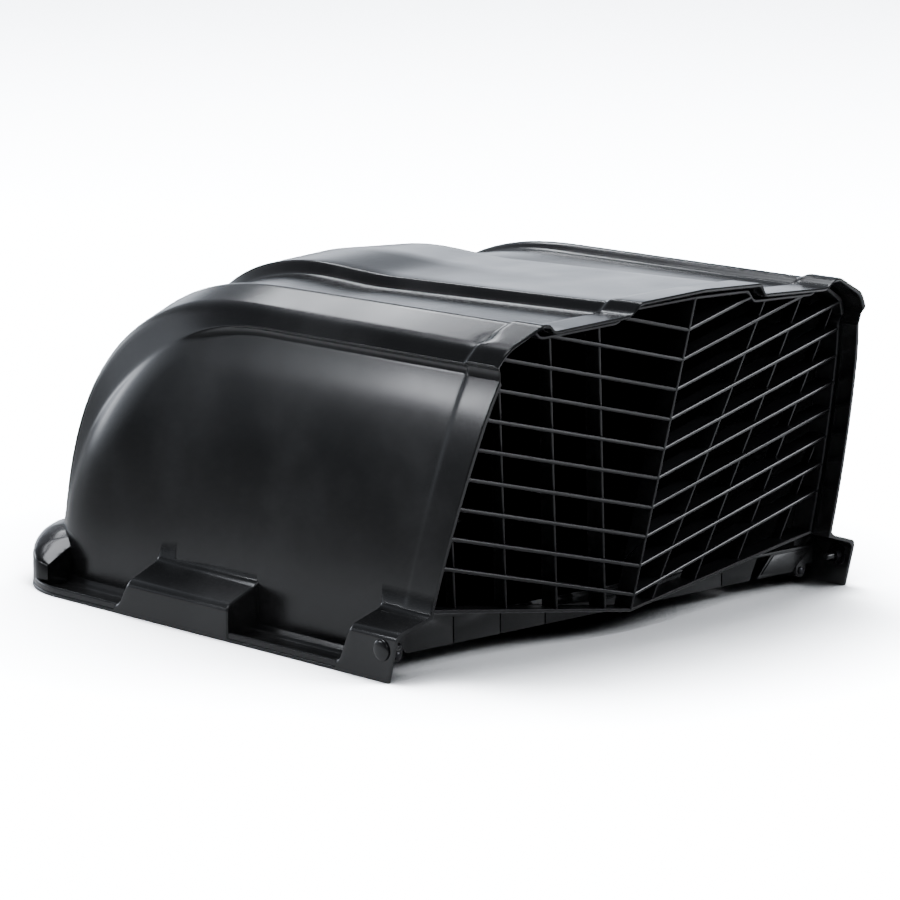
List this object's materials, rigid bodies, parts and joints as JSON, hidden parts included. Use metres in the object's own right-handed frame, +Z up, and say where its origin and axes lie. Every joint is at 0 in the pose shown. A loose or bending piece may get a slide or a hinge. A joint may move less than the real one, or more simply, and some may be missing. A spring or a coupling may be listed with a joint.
{
  "type": "roof vent cover",
  "caption": "Hooded rain cover for a camper roof vent: rounded nose, ribbed top, flanged foot with corner blocks, chevron louvre at the rear, tilting on front hinge brackets.",
  "frame": {"origin": "centre of the bounding box's bottom face, on the plane of the foot gutter's underside", "axes": "+Z up off the roof, +Y towards the rounded nose (the vehicle's front), X across the cover"},
  "size_m": [0.5062, 0.574, 0.2833],
  "materials": {
    "hood_black": "satin moulded",
    "grille_black": "satin moulded",
    "bracket_steel": "plain stainless",
    "black_zinc": "black plated",
    "nylon": "natural"
  },
  "bodies": {
    "vehicle_side": {"front_bracket_left": "bracket_steel", "front_bracket_right": "bracket_steel", "hinge_bush_left": "nylon", "hinge_bush_right": "nylon", "front_screw_left_1": "bracket_steel", "front_screw_left_2": "bracket_steel", "front_screw_right_1": "bracket_steel", "front_screw_right_2": "bracket_steel"},
    "hood": {"hood_shell": "hood_black", "rear_cross_panel": "hood_black", "rear_bolt_left": "hood_black", "rear_bolt_right": "hood_black", "rear_washer_left": "black_zinc", "rear_washer_right": "black_zinc", "rear_nut_left": "black_zinc", "rear_nut_right": "black_zinc", "panel_screw_left": "black_zinc", "panel_screw_right": "black_zinc", "hinge_pin_left": "bracket_steel", "hinge_pin_right": "bracket_steel", "hinge_clip_left": "bracket_steel", "hinge_clip_right": "bracket_steel"},
    "louvre": {"louvre_grille": "grille_black"}
  },
  "joints": [
    {"name": "hood_tilt", "type": "hinge", "parent": "vehicle_side", "child": "hood", "pos_m": [0, 0.262, 0.014], "axis": [-1, 0, 0], "range_deg": [0, 50]},
    {"name": "louvre_pull", "type": "slide", "parent": "hood", "child": "louvre", "axis": [0, -1, 0], "range_m": [0, 0.12]}
  ]
}
